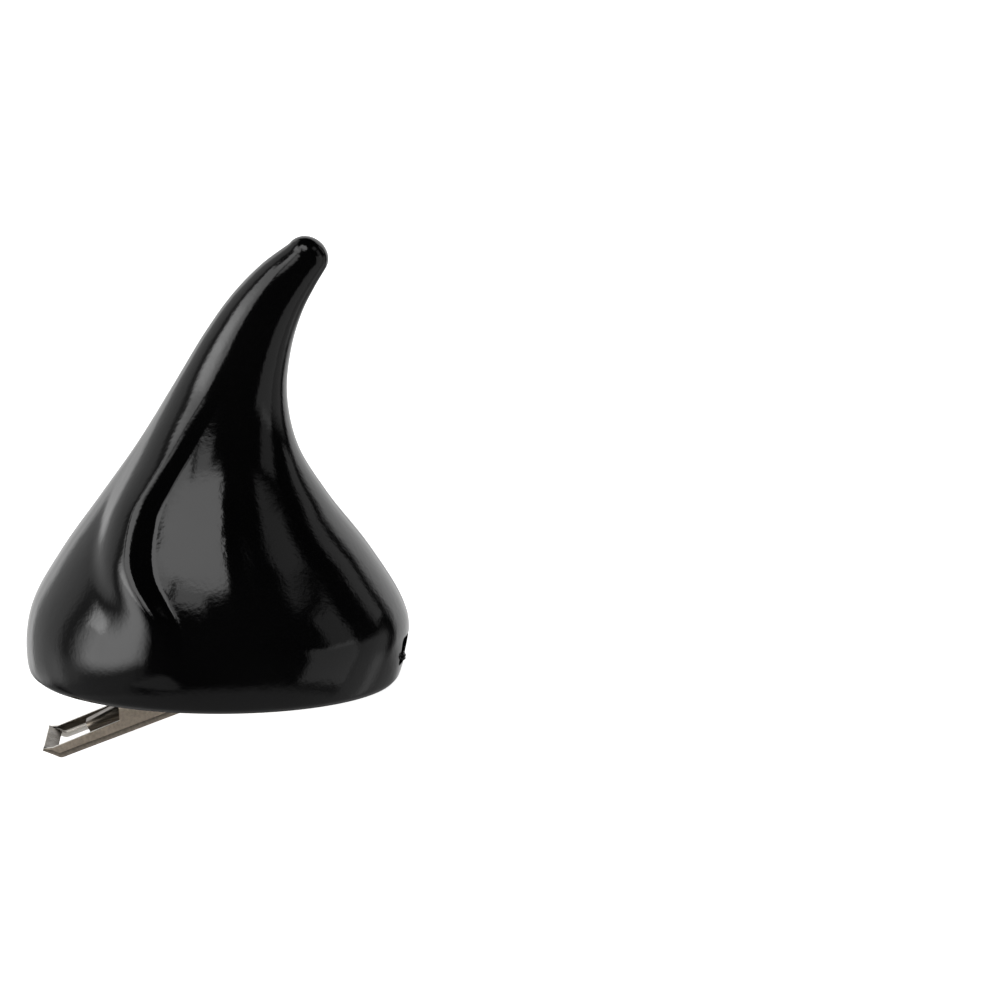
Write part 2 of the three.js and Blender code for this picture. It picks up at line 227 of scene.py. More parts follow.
def join_into(piece, other):
    """Adds another piece's mesh to a piece and deletes the other."""
    joined = bmesh.new()
    joined.from_mesh(piece.data)
    joined.from_mesh(other.data)
    joined.to_mesh(piece.data)
    joined.free()
    bpy.data.objects.remove(other)


def remove_loose(piece):
    """Deletes the points that no face uses."""
    cleaned = bmesh.new()
    cleaned.from_mesh(piece.data)
    loose = [vertex for vertex in cleaned.verts if not vertex.link_faces]
    bmesh.ops.delete(cleaned, geom=loose, context="VERTS")
    cleaned.to_mesh(piece.data)
    cleaned.free()


def tube_faces(rows, columns):
    """Quads between rows of points that each go right round."""
    faces = []
    for i in range(rows - 1):
        for j in range(columns):
            k = (j + 1) % columns
            faces.append((i * columns + j, (i + 1) * columns + j, (i + 1) * columns + k, i * columns + k))
    return faces


def closed_tube(rows, start, end):
    """Points and faces of a skin through rows of points, closed to a point at each end."""
    rows = np.asarray(rows)
    count, columns, _ = rows.shape
    points = np.concatenate([rows.reshape(-1, 3), [start], [end]])
    faces = tube_faces(count, columns)
    first, last = count * columns, count * columns + 1
    for j in range(columns):
        k = (j + 1) % columns
        faces.append((first, j, k))
        faces.append((last, (count - 1) * columns + k, (count - 1) * columns + j))
    return points, faces


def smoothstep(value, low, high):
    t = np.clip((value - low) / (high - low), 0.0, 1.0)
    return t * t * (3.0 - 2.0 * t)


def ramp(value, softness):
    """A straight climb from 0 to 1 with softened ends."""
    t = np.clip(value, 0.0, 1.0)
    return (1 - softness) * t + softness * smoothstep(t, 0.0, 1.0)


# Horn

def spline(points, along):
    """Centripetal curve through points, at places from 0 at the first to 1 at the last."""
    points = np.asarray(points, float)
    led = np.concatenate([[2 * points[0] - points[1]], points, [2 * points[-1] - points[-2]]])
    place = np.clip(np.asarray(along, float), 0.0, 1.0) * (len(points) - 1)
    span = np.minimum(place.astype(int), len(points) - 2)
    t = (place - span)[..., None]
    before, start, end, after = (led[span + k] for k in range(4))

    def gap(a, b):
        return np.sqrt(np.linalg.norm(b - a, axis=-1, keepdims=True))

    d0, d1, d2 = gap(before, start), gap(start, end), gap(end, after)
    leave = ((start - before) / d0 - (end - before) / (d0 + d1) + (end - start) / d1) * d1
    reach = ((end - start) / d1 - (after - start) / (d1 + d2) + (after - end) / d2) * d1
    square = 3 * (end - start) - 2 * leave - reach
    cube = 2 * (start - end) + leave + reach
    return start + t * (leave + t * (square + t * cube))


def rail(side):
    """Points of the outer or inner side of the horn, with the half depth in place of y."""
    rows = [dict(zip(SECTION_COLUMNS, row)) for row in SECTIONS]
    return [(row[side + "_x"], row["half_depth"], row[side + "_z"]) for row in rows]


def relief(azimuth, z, half_depth):
    """How far the fold and the lobe lift the skin, and how far the parting line sinks it."""
    side = np.abs((azimuth + 180.0) % 360.0 - 180.0)
    table = spline(FOLD, np.linspace(0.0, 1.0, CURVE_STEPS))
    edge, height = (np.interp(z, table[:, 0], table[:, k]) for k in range(1, len(FOLD_COLUMNS)))
    past_edge = np.radians(side - edge) * half_depth
    wall = ramp(past_edge / FOLD_RUN["wall"], FOLD_RUN["crease"])
    back = 1 - smoothstep(past_edge, FOLD_RUN["wall"], FOLD_RUN["wall"] + FOLD_RUN["back"])
    climb = smoothstep(z, LOBE["low_z"], LOBE["crest_z"])
    fall = 1 - smoothstep(z, LOBE["crest_z"], LOBE["high_z"])
    lobe = LOBE["height"] * climb * fall * smoothstep(side, LOBE["start"], LOBE["full"]) * (1 - wall)
    from_seam = np.minimum(side, 180.0 - side)
    seam = SEAM["depth"] * (1 - smoothstep(from_seam, 0.0, SEAM["half_angle"]))
    return height * wall * back + lobe - seam


def horn_points(along, azimuth, inset=0.0, shrink=1.0, rise=0.0, folded=False):
    """Points of the horn's skin or of a skin inside it, for arrays of places along and round it."""
    along, azimuth, inset, shrink, rise = np.broadcast_arrays(along, azimuth, inset, shrink, rise)
    outer = spline(rail("outer"), along)
    inner = spline(rail("inner"), along)
    middle = (outer + inner) / 2
    across = inner - outer
    across[..., 1] = 0.0
    width = np.linalg.norm(across, axis=-1)
    across = across / width[..., None]
    spine = np.stack([-across[..., 2], np.zeros_like(width), across[..., 0]], -1)
    half_depth = middle[..., 1].copy()
    lift = relief(azimuth, middle[..., 2], half_depth) if folded else 0.0
    middle[..., 1] = (half_depth - inset + lift) * shrink * np.sin(np.radians(azimuth))
    sideways = (width / 2 - inset + lift) * shrink * np.cos(np.radians(azimuth))
    return middle + across * sideways[..., None] + spine * rise[..., None]


def azimuths():
    """Angles round the horn, closer over the fold and at the parting line."""
    half_round_horn = np.concatenate([
        np.arange(0.0, ANGLE_STEPS["fine_from"], ANGLE_STEPS["coarse"]),
        np.arange(ANGLE_STEPS["fine_from"], ANGLE_STEPS["fine_to"], ANGLE_STEPS["fine"]),
        np.arange(ANGLE_STEPS["fine_to"], 180.0, ANGLE_STEPS["coarse"]),
    ])
    even = np.concatenate([half_round_horn, 360.0 - half_round_horn[1:]])
    near_seam = SEAM["half_angle"] * np.array(SEAM_POINTS)
    clear = np.abs((even + 90.0) % 180.0 - 90.0) > 2 * SEAM["half_angle"]
    return np.unique(np.concatenate([even[clear], near_seam % 360.0, 180.0 + near_seam]))


def place_at_height(azimuth, inset, height):
    """How far along the horn each angle reaches a height, on a skin inside it."""
    along = np.linspace(0.0, FLOOR_SEARCH, CURVE_STEPS)
    heights = horn_points(along[:, None], azimuth[None, :], inset)[..., 2]
    return np.array([np.interp(height, heights[:, j], along) for j in range(len(azimuth))])


def stretch_steps(stretch):
    """Places of the rows on a stretch of skin, up to 1 at its end."""
    first, rows = STRETCHES[stretch]
    return np.linspace(first, 1.0, rows)


def outside_rows(azimuth):
    """Rows of points from the tip down the outside and round the rim."""
    turns = np.radians(np.linspace(TIP_TURNS["first"], TIP_TURNS["last"], TIP_TURNS["rows"]))
    tip_rise = TIP_LENGTH * np.sin(turns)
    tip = horn_points(1.0, azimuth[None, :], 0.0, np.cos(turns)[:, None], tip_rise[:, None], folded=True)
    outside = horn_points(np.linspace(1.0, 0.0, OUTSIDE_ROWS)[:, None], azimuth[None, :], folded=True)
    rim_inset = np.array(RIM_INSETS)
    rim_rise = -RIM_ROUND * np.sin(np.pi * rim_inset / WALL)
    rim = horn_points(0.0, azimuth[None, :], rim_inset[:, None], 1.0, rim_rise[:, None])
    return np.concatenate([tip, outside, rim])


def fillet_rows(wall_ring):
    """Rows of points round the corner between the recess's wall and its floor."""
    rows = []
    for turn in np.radians(FILLET_TURNS):
        inwards = 1 - FLOOR_FILLET * (1 - math.cos(turn)) / np.linalg.norm(wall_ring[:, :2], axis=1)
        ring = wall_ring * inwards[:, None]
        ring[:, 2] = FLOOR_UNDERSIDE - FLOOR_FILLET * (1 - math.sin(turn))
        rows.append(ring)
    return np.array(rows)


def inside_rows(azimuth):
    """Rows of points up the recess, through the vent in its floor and up the hollow."""
    to_fillet = place_at_height(azimuth, WALL, FLOOR_UNDERSIDE - FLOOR_FILLET)
    up_recess = stretch_steps("recess")[:, None]
    recess = horn_points(up_recess * to_fillet[None, :], azimuth[None, :], WALL)
    fillet = fillet_rows(recess[-1])
    vent_ring = np.stack([VENT["x"] + VENT["radius"] * np.cos(np.radians(azimuth)),
                          VENT["radius"] * np.sin(np.radians(azimuth)),
                          np.full(len(azimuth), FLOOR_UNDERSIDE)], -1)
    underside = [fillet[-1] + (vent_ring - fillet[-1]) * k for k in stretch_steps("underside")]
    raised = vent_ring + np.array([0.0, 0.0, FLOOR_THICKNESS])
    to_top = place_at_height(azimuth, WALL, FLOOR_UNDERSIDE + FLOOR_THICKNESS)
    top_ring = horn_points(to_top, azimuth, WALL)
    top = [raised + (top_ring - raised) * k for k in stretch_steps("top")]
    up_hollow = stretch_steps("hollow")[:, None]
    hollow = horn_points(to_top[None, :] + up_hollow * (1 - to_top)[None, :], azimuth[None, :], WALL)
    return np.concatenate([recess, fillet, np.array(underside), np.array(top), hollow])


def slot_bar():
    """Round-cornered bar through the inner wall, which cuts the slot."""
    outline = []
    corners = ((1, -1, -90.0), (1, 1, 0.0), (-1, 1, 90.0), (-1, -1, 180.0))
    for side, up, first in corners:
        for degrees in np.linspace(first, first + 90.0, SLOT_BAR["corner_points"]):
            turn = math.radians(degrees)
            y = side * (SLOT["width"] / 2 - SLOT["corner"]) + SLOT["corner"] * math.cos(turn)
            z = up * (SLOT["height"] / 2 - SLOT["corner"]) + SLOT["corner"] * math.sin(turn)
            outline.append((y, z))
    count = len(outline)
    points = []
    azimuth = math.radians(SLOT["azimuth"])
    for radius in (SLOT_BAR["from_radius"], SLOT_BAR["from_radius"] + SLOT_BAR["length"]):
        for y, z in outline:
            x = radius * math.cos(azimuth) - y * math.sin(azimuth)
            points.append((x, radius * math.sin(azimuth) + y * math.cos(azimuth), SLOT["middle_z"] + z))
    faces = [tuple(reversed(range(count))), tuple(range(count, 2 * count))]
    for j in range(count):
        k = (j + 1) % count
        faces.append((j, k, count + k, count + j))
    return new_piece("slot_bar", points, faces, None)


def flash_lump(material):
    """Small uneven lump of plastic."""
    middle, half = np.array(FLASH["middle"]), np.array(FLASH["half"])
    turn = 2 * math.pi * np.arange(FLASH["sides"]) / FLASH["sides"]
    rows = []
    for up in np.linspace(1.0, -1.0, FLASH["rings"] + 2)[1:-1]:
        first_wave, second_wave = (around * turn + upwards * up for around, upwards in FLASH_WAVES)
        uneven = 1 + FLASH["rough"] * np.sin(first_wave) * np.cos(second_wave)
        across = uneven * math.sqrt(1 - up * up)
        ring = np.stack([across * np.cos(turn), across * np.sin(turn), np.full(len(turn), up)], -1)
        rows.append(middle + half * ring)
    to_pole = np.array([0.0, 0.0, half[2]])
    points, faces = closed_tube(rows, middle + to_pole, middle - to_pole)
    return new_piece("flash_lump", points, faces, material)


def make_horn(material):
    """Hollow horn with its slot cut and the bit of flash on it."""
    azimuth = azimuths()
    rows = np.concatenate([outside_rows(azimuth), inside_rows(azimuth)])
    pole = horn_points(np.array(1.0), 0.0, 0.0, 0.0, TIP_LENGTH)
    inner_pole = horn_points(np.array(1.0), 0.0, WALL, 0.0, TIP_LENGTH - WALL)
    points, faces = closed_tube(rows, pole, inner_pole)
    horn = new_piece("horn_skin", points, faces, material)
    bar = slot_bar()
    cut = horn.modifiers.new("slot", "BOOLEAN")
    cut.operation = "DIFFERENCE"
    cut.solver = "EXACT"
    cut.object = bar
    apply_modifiers(horn)
    bpy.data.objects.remove(bar)
    join_into(horn, flash_lump(material))
    return soften(horn, SHARP["horn"])


# Sheet metal

def rounded_line(corners, radius):
    """A bent line with an arc at each of its bends."""
    corners = [np.array(corner, float) for corner in corners]
    points = [corners[0]]
    for before, corner, after in zip(corners, corners[1:], corners[2:]):
        into = (corner - before) / np.linalg.norm(corner - before)
        out = (after - corner) / np.linalg.norm(after - corner)
        half_turn = math.acos(np.clip(into @ out, -1.0, 1.0)) / 2
        reach = radius * math.tan(half_turn)
        start, end = corner - into * reach, corner + out * reach
        for k in np.linspace(0.0, 1.0, STRIP_BEND_ROWS):
            points.append((1 - k) ** 2 * start + 2 * k * (1 - k) * corner + k * k * end)
    points.append(corners[-1])
    return np.array(points)


def slanted_frame(start, end):
    """Turns places along and above a sloping line into the horn's frame, and back."""
    slope = math.atan2(end[1] - start[1], end[0] - start[0])
    run, climb = math.cos(slope), math.sin(slope)

    def place(along, y, high):
        return (start[0] + along * run - high * climb, y, start[1] + along * climb + high * run)

    def measure(x, z):
        right, up = x - start[0], z - start[1]
        return (right * run + up * climb, -right * climb + up * run)

    return place, measure


def sorted_places(places, start, end):
    """Places from start to end in order, each once."""
    return np.unique(np.round([along for along in places if start <= along <= end], PLACE_DIGITS))


def round_end_places(end, half_width):
    """Places along a strip that follow its half-round end."""
    turns = np.linspace(0.0, math.pi / 2, ROUND_END_ROWS)
    return [end - half_width * (1 - math.sin(turn)) for turn in turns]


def half_round(place, end, half_width):
    """Half width of a strip near its half-round end."""
    past = np.clip((place - (end - half_width)) / half_width, 0.0, ROUND_END_SHARE)
    return half_width * math.sqrt(1 - past * past)


def channel_row(place, base, lip, half_width, up):
    """Points across a channel: down one side wall, round its bend, along the flat and up the other side."""
    middle = half_width - SHEET / 2
    lip = max(lip, SHEET_EDGE)
    bend = min(BEND, BEND_SHARE * lip)
    flat = middle - bend
    heights = [lip + (bend - lip) * k for k in np.linspace(0.0, 1.0, WALL_POINTS)]
    row = [(place, -middle, base + up * height) for height in heights]
    for degrees in BEND_TURNS:
        turn = math.radians(degrees)
        row.append((place, -flat - bend * math.cos(turn), base + up * bend * (1 - math.sin(turn))))
    row += [(place, y * flat, base) for y in FLAT_COLUMNS]
    mirrored = [(along, -y, high) for along, y, high in reversed(row)]
    return row + [point for point in mirrored if point not in row]


def pad_row(row, half_width, end, pad_half):
    """A channel's row spread to the width of a pad with a half-round end."""
    flat = half_width - SHEET / 2 - BEND
    return [(along, y / flat * half_round(along, end, pad_half), high) for along, y, high in row]


def in_flat(column, columns):
    """Whether a face between two columns of a channel is on its flat."""
    return FLAT_FROM <= column < columns - 1 - FLAT_FROM


def sheet_piece(name, rows, skip, place, flat_metals, bend_metals):
    """A piece of sheet metal through rows of points, with its thickness and its rounded edges.

    Its metals are those of the lower face, the upper face and the cut edges, on the flats and at the bends;
    the darker copies of the nickel among them are painted shade and the lighter one is painted highlight.
    """
    columns = len(rows[0])
    points = [place(*point) for row in rows for point in row]
    faces = []
    slots = []
    for i in range(len(rows) - 1):
        for j in range(columns - 1):
            if not skip(i, j):
                first, after = i * columns + j, (i + 1) * columns + j
                faces.append((first, first + 1, after + 1, after))
                # Faces at the bends take the second set of metals, which on the jaw are its painted shade and
                # painted highlight copies
                at_bend = WALL_POINTS - 1 <= min(j, columns - 2 - j) < FLAT_FROM
                slots.append(len(flat_metals) if at_bend else 0)
    piece = new_piece(name, points, faces, None)
    for material in (*flat_metals, *bend_metals):
        piece.data.materials.append(material)
    piece.data.polygons.foreach_set("material_index", slots)
    thickness = piece.modifiers.new("thickness", "SOLIDIFY")
    thickness.material_offset = 1
    thickness.material_offset_rim = 2
    thickness.thickness = SHEET * MM
    thickness.offset = 0.0
    thickness.use_even_offset = True
    edge = piece.modifiers.new("edge", "BEVEL")
    edge.width = SHEET_EDGE * MM
    edge.segments = EDGE_BEVEL["segments"]
    edge.limit_method = "ANGLE"
    edge.angle_limit = math.radians(EDGE_BEVEL["sharper_than"])
    apply_modifiers(piece)
    remove_loose(piece)
    return soften(piece, SHARP["sheet"])


def make_jaw(outside, under, inside, edge):
    """Lower half of the clip: a channel with a window, an end flap, ears for the pin and a thumb pad."""
    place, measure = slanted_frame(JAW_STRIP[1], JAW_STRIP[2])
    line = rounded_line([measure(*corner) for corner in JAW_STRIP], JAW_STRIP_BEND)
    pin_along, pin_high = measure(PIN["x"], PIN["z"])
    wall_end = pin_along + JAW_LOBE
    wall = np.array(JAW_WALL + [(pin_along, pin_high + JAW_LOBE)])
    start, end = line[0][0], line[-1][0]
    pad_half = JAW_PAD_WIDTH / 2
    stations = [*line[:, 0], JAW_WALL[1][0], JAW_WALL[2][0], wall_end + PAST_EAR]
    for window_end, out in ((JAW_WINDOW["from"], -SHEET_EDGE), (JAW_WINDOW["to"], SHEET_EDGE)):
        stations += [window_end, window_end + out]
    stations += [*np.linspace(0.0, JAW_WINDOW["to"], JAW_ROWS["window"])]
    stations += [*np.linspace(JAW_WINDOW["to"], pin_along, JAW_ROWS["to_pin"])]
    stations += [*np.linspace(pin_along, wall_end, JAW_ROWS["ear"])]
    stations = sorted_places(stations + round_end_places(end, pad_half), start, end)
    rows = []
    for along in stations:
        base = np.interp(along, line[:, 0], line[:, 1]) + SHEET / 2
        top = np.interp(along, wall[:, 0], wall[:, 1])
        if along > pin_along:
            top = pin_high + math.sqrt(max(JAW_LOBE ** 2 - (along - pin_along) ** 2, 0.0))
        row = channel_row(along, base, top - base, JAW_WIDTH / 2, 1.0)
        rows.append(pad_row(row, JAW_WIDTH / 2, end, pad_half) if along > wall_end else row)

    def skip(i, j):
        in_pad = stations[i + 1] > wall_end
        in_window = JAW_WINDOW["from"] <= stations[i] and stations[i + 1] <= JAW_WINDOW["to"]
        return in_window if in_flat(j, len(rows[0])) else in_pad

    # Nickel on the channel's lower faces, painted shade on its upper faces and on the bends' outer faces,
    # painted highlight on the cut edges and the bends' inner faces
    return sheet_piece("clip_jaw_sheet", rows, skip, place, (outside, inside, edge), (under, edge, edge))


def make_arm(metal, edge):
    """Upper half of the clip: a narrow prong with flanges, ears for the pin and a fixed pad."""
    place, measure = slanted_frame(ARM_STRIP[0], ARM_STRIP[1])
    line = rounded_line([measure(*corner) for corner in ARM_STRIP], ARM_STRIP_BEND)
    pin_along, pin_high = measure(PIN["x"], PIN["z"])
    end = line[-1][0]
    ear_start, wall_end = pin_along - ARM_EAR, pin_along + ARM_EAR
    pad_half = ARM_PAD_WIDTH / 2
    run = measure(*ARM_STRIP[1])[0] / (ARM_STRIP[1][0] - ARM_STRIP[0][0])
    widths = np.array([((x - ARM_STRIP[0][0]) * run, half_width) for x, half_width in ARM_HALF_WIDTHS])
    flange = np.array([((x - ARM_STRIP[0][0]) * run, depth) for x, depth in ARM_FLANGE])
    stations = [*line[:, 0], *widths[:, 0], *flange[:, 0], wall_end + PAST_EAR]
    stations += [*np.linspace(0.0, end, ARM_ROWS["length"])]
    stations += [*np.linspace(widths[1, 0], widths[2, 0], ARM_ROWS["widening"])]
    stations += [*np.linspace(ear_start, wall_end, ARM_ROWS["ear"])]
    stations = sorted_places(stations + round_end_places(end, pad_half), 0.0, end)
    rows = []
    for along in stations:
        base = np.interp(along, line[:, 0], line[:, 1]) - SHEET / 2
        depth = np.interp(along, flange[:, 0], flange[:, 1]) - SHEET / 2
        if abs(along - pin_along) <= ARM_EAR:
            depth = max(depth, base - pin_high + math.sqrt(ARM_EAR ** 2 - (along - pin_along) ** 2))
        half_width = np.interp(along, widths[:, 0], widths[:, 1])
        row = channel_row(along, base, depth, half_width, -1.0)
        rows.append(pad_row(row, half_width, end, pad_half) if along > wall_end else row)

    def skip(i, j):
        return stations[i + 1] > wall_end and not in_flat(j, len(rows[0]))

    # The whole arm takes the dark painted shade copy of the nickel, with painted highlight on its cut edges
    return sheet_piece("clip_arm_sheet", rows, skip, place, (metal, metal, edge), (metal, metal, edge))


# Pin and spring

def make_pin(material):
    """Rivet with two domed heads, along Y."""
    shoulder = JAW_WIDTH / 2 + PIN_HEAD["gap"]
    reach = shoulder + PIN_HEAD["height"]
    profile = [(PIN_HEAD["crown"], -reach)]
    for turn in np.radians(DOME_TURNS):
        profile.append((PIN_HEAD["radius"] * math.cos(turn), -shoulder - PIN_HEAD["height"] * math.sin(turn)))
    profile += [(PIN["radius"] + PIN["neck"], -shoulder), (PIN["radius"], -shoulder + PIN["neck"])]
    profile += [(radius, -along) for radius, along in reversed(profile)]
    rows = []
    for radius, along in profile:
        ring = []
        for j in range(PIN_SIDES):
            turn = -2 * math.pi * j / PIN_SIDES
            ring.append((PIN["x"] + radius * math.cos(turn), along, PIN["z"] + radius * math.sin(turn)))
        rows.append(ring)
    points, faces = closed_tube(rows, (PIN["x"], -reach, PIN["z"]), (PIN["x"], reach, PIN["z"]))
    return soften(new_piece("clip_pin_rivet", points, faces, material), SHARP["pin"])


def spring_path():
    """Points along the spring's wire: a leg, the turns round the pin and the other leg."""
    turn = math.pi + SPRING["full_turns"] * 2 * math.pi
    path = [(SPRING_LEG["x"], -SPRING["length"] / 2, SPRING_LEG["lower_z"])]
    for k in np.linspace(0.0, 1.0, SPRING_ROWS):
        angle = -math.pi / 2 - k * turn
        path.append((PIN["x"] + SPRING["coil"] * math.cos(angle), (k - 0.5) * SPRING["length"],
                     PIN["z"] + SPRING["coil"] * math.sin(angle)))
    path.append((SPRING_LEG["x"], SPRING["length"] / 2, SPRING_LEG["upper_z"]))
    return np.array(path)


def make_spring(material):
    """Torsion spring round the pin, with a leg on each pad."""
    path = spring_path()
    turns = 2 * math.pi * np.arange(SPRING_SIDES) / SPRING_SIDES
    rows = []
    for i, point in enumerate(path):
        along = path[min(i + 1, len(path) - 1)] - path[max(i - 1, 0)]
        along /= np.linalg.norm(along)
        side = np.array([0.0, 1.0, 0.0]) - along[1] * along
        side /= np.linalg.norm(side)
        up = np.cross(along, side)
        rows.append(point + SPRING["wire"] * (np.outer(np.cos(turns), side) - np.outer(np.sin(turns), up)))
    points, faces = closed_tube(rows, path[0], path[-1])
    return soften(new_piece("clip_spring_wire", points, faces, material), SHARP["spring"])


# Materials: noise scales are per metre, bump depths are in metres and roughness goes from low to high

TINT_SPAN = (0.3, 0.7)
NOISE_SPAN = (0.35, 0.65)

PLASTIC_TINT = {"scale": 60.0, "detail": 3.0}
PLASTIC_COLOURS = ((0.0008, 0.0008, 0.0009), (0.0018, 0.0018, 0.0019))
PLASTIC_HAZE = {"scale": 140.0, "detail": 5.0}
PLASTIC_ROUGHNESS = (0.07, 0.12)
PLASTIC_IOR = 1.5
PLASTIC_PEEL = {"scale": 2200.0, "detail": 3.0, "strength": 0.12, "depth": 0.0001}
PLASTIC_WAVES = {"scale": 260.0, "detail": 3.0, "strength": 0.08, "depth": 0.0006}

EVEN_GRAIN = (2600.0, 2600.0, 2600.0)
DRAWN_GRAIN = (260.0, 4200.0, 4200.0)
WOUND_GRAIN = (900.0, 6000.0, 900.0)
GRAIN = {"scale": 1.0, "detail": 3.0, "strength": 0.06, "depth": 0.0001}
DULLING = {"scale": 500.0, "detail": 4.0}
METAL_COLUMNS = ("name", "dark", "light", "stretch", "metallic", "roughness")
METALS = [
    ("clip_nickel", (0.72, 0.61, 0.49), (0.93, 0.8, 0.65), EVEN_GRAIN, 0.85, (0.4, 0.52)),
    # Darker copy of the nickel: painted shade on the outer faces of the jaw's bends, along the foot of its
    # walls
    ("clip_under", (0.5, 0.43, 0.35), (0.7, 0.61, 0.51), EVEN_GRAIN, 1.0, (0.4, 0.52)),
    # Dark copy of the nickel: painted shade on the upper faces of the jaw's channel and over the whole arm
    ("clip_inside", (0.1, 0.085, 0.068), (0.33, 0.29, 0.24), DRAWN_GRAIN, 1.0, (0.3, 0.42)),
    # Lighter, less metallic copy of the nickel: painted highlight along the cut edges and on the inner faces
    # of the jaw's bends
    ("clip_edge", (0.84, 0.8, 0.73), (0.95, 0.91, 0.85), EVEN_GRAIN, 0.7, (0.36, 0.48)),
    ("spring_steel", (0.4, 0.39, 0.37), (0.62, 0.6, 0.57), WOUND_GRAIN, 1.0, (0.3, 0.4)),
]


def new_material(name):
    material = bpy.data.materials.new(name)
    material.use_nodes = True
    nodes = material.node_tree.nodes
    return material, nodes, material.node_tree.links, nodes["Principled BSDF"]


def add_noise(nodes, links, look, stretch=(1.0, 1.0, 1.0)):
    """Noise over the piece's own coordinates, in metres, stretched along the axes."""
    place = nodes.new("ShaderNodeTexCoord")
    mapping = nodes.new("ShaderNodeMapping")
    mapping.inputs["Scale"].default_value = stretch
    noise = nodes.new("ShaderNodeTexNoise")
    noise.inputs["Scale"].default_value = look["scale"]
    noise.inputs["Detail"].default_value = look["detail"]
    links.new(place.outputs["Object"], mapping.inputs["Vector"])
    links.new(mapping.outputs["Vector"], noise.inputs["Vector"])
    return noise.outputs["Fac"]


def add_tints(nodes, links, value, colours):
    """Colour that goes from one to another as a value rises."""
    tints = nodes.new("ShaderNodeValToRGB")
    for element, place, colour in zip(tints.color_ramp.elements, TINT_SPAN, colours):
        element.position = place
        element.color = (*colour, 1.0)
    links.new(value, tints.inputs["Fac"])
    return tints.outputs["Color"]


def add_range(nodes, links, value, to_span, from_span=NOISE_SPAN):
    """Value spread from one span to another."""
    spread = nodes.new("ShaderNodeMapRange")
    for label, span in (("From", from_span), ("To", to_span)):
        spread.inputs[label + " Min"].default_value = span[0]
        spread.inputs[label + " Max"].default_value = span[1]
    links.new(value, spread.inputs["Value"])
    return spread.outputs["Result"]


def add_bump(nodes, links, height, look, under=None):
    """Surface tilted by a height, over another bump where there is one."""
    bump = nodes.new("ShaderNodeBump")
    bump.inputs["Strength"].default_value = look["strength"]
    bump.inputs["Distance"].default_value = look["depth"]
    links.new(height, bump.inputs["Height"])
    if under is not None:
        links.new(under, bump.inputs["Normal"])
    return bump.outputs["Normal"]


def horn_plastic():
    """Glossy black moulded plastic with a slight orange peel and faint handling marks."""
    material, nodes, links, shader = new_material("horn_plastic")
    tint = add_noise(nodes, links, PLASTIC_TINT)
    links.new(add_tints(nodes, links, tint, PLASTIC_COLOURS), shader.inputs["Base Color"])
    haze = add_noise(nodes, links, PLASTIC_HAZE)
    links.new(add_range(nodes, links, haze, PLASTIC_ROUGHNESS), shader.inputs["Roughness"])
    shader.inputs["IOR"].default_value = PLASTIC_IOR
    peel = add_bump(nodes, links, add_noise(nodes, links, PLASTIC_PEEL), PLASTIC_PEEL)
    waves = add_bump(nodes, links, add_noise(nodes, links, PLASTIC_WAVES), PLASTIC_WAVES, peel)
    links.new(waves, shader.inputs["Normal"])
    return material


def metal_finish(metal):
    """Plated sheet or wire with a fine grain."""
    material, nodes, links, shader = new_material(metal["name"])
    grain = add_noise(nodes, links, GRAIN, metal["stretch"])
    links.new(add_tints(nodes, links, grain, (metal["dark"], metal["light"])), shader.inputs["Base Color"])
    dulling = add_noise(nodes, links, DULLING)
    links.new(add_range(nodes, links, dulling, metal["roughness"]), shader.inputs["Roughness"])
    shader.inputs["Metallic"].default_value = metal["metallic"]
    links.new(add_bump(nodes, links, grain, GRAIN), shader.inputs["Normal"])
    return material


# Stage, light and camera

WHITE = (1.0, 1.0, 1.0, 1.0)
SWEEP = {"half": 4.0, "roughness": 0.9, "glow": 1.0}
SWEEP_NOISE = {"scale": 2.0, "detail": 2.0}
SWEEP_COLOURS = ((0.79, 0.79, 0.79), (0.81, 0.81, 0.81))

# Panels of light round the horn: the middle and half size of each in degrees, its soft edge and brightness
PANEL_COLUMNS = ("name", "azimuth", "elevation", "half_wide", "half_tall", "edge", "brightness")
PANELS = [
    ("key_over", -118.0, 65.0, 42.0, 12.0, 3.0, 2.4),
    ("key_step", -111.0, 47.0, 13.0, 6.0, 3.0, 1.4),
    ("key_step_over", -90.0, 51.0, 8.0, 3.0, 3.0, 1.0),
    ("key_left", -156.0, 37.0, 26.0, 16.0, 3.0, 1.9),
    ("key_left_low", -163.0, 12.0, 16.0, 25.0, 11.0, 3.0),
    ("left_wall", 140.0, 15.0, 22.0, 40.0, 5.0, 0.5),
    ("left_gap", 170.0, 15.0, 8.0, 40.0, 4.0, 0.15),
    ("back_wall", 84.0, 11.0, 39.0, 29.0, 5.0, 0.85),
    ("back_low", 84.0, -29.0, 60.0, 11.0, 5.0, 0.2),
    ("second_strip", 31.0, 24.0, 6.0, 13.0, 1.5, 0.32),
    ("right_low", -15.0, -12.0, 18.0, 24.0, 3.0, 0.46),
    ("strip", -8.0, 22.0, 10.0, 14.0, 3.0, 0.3),
    ("patch", -12.0, 50.0, 14.0, 7.0, 4.0, 0.34),
    ("table", 0.0, -68.0, 200.0, 28.0, 5.0, 0.24),
    ("table_right", 18.0, -17.5, 15.0, 22.5, 5.0, 0.3),
    ("table_left", -176.0, -25.0, 32.0, 16.0, 8.0, 0.22),
]
STUDIO_DIM = 0.006


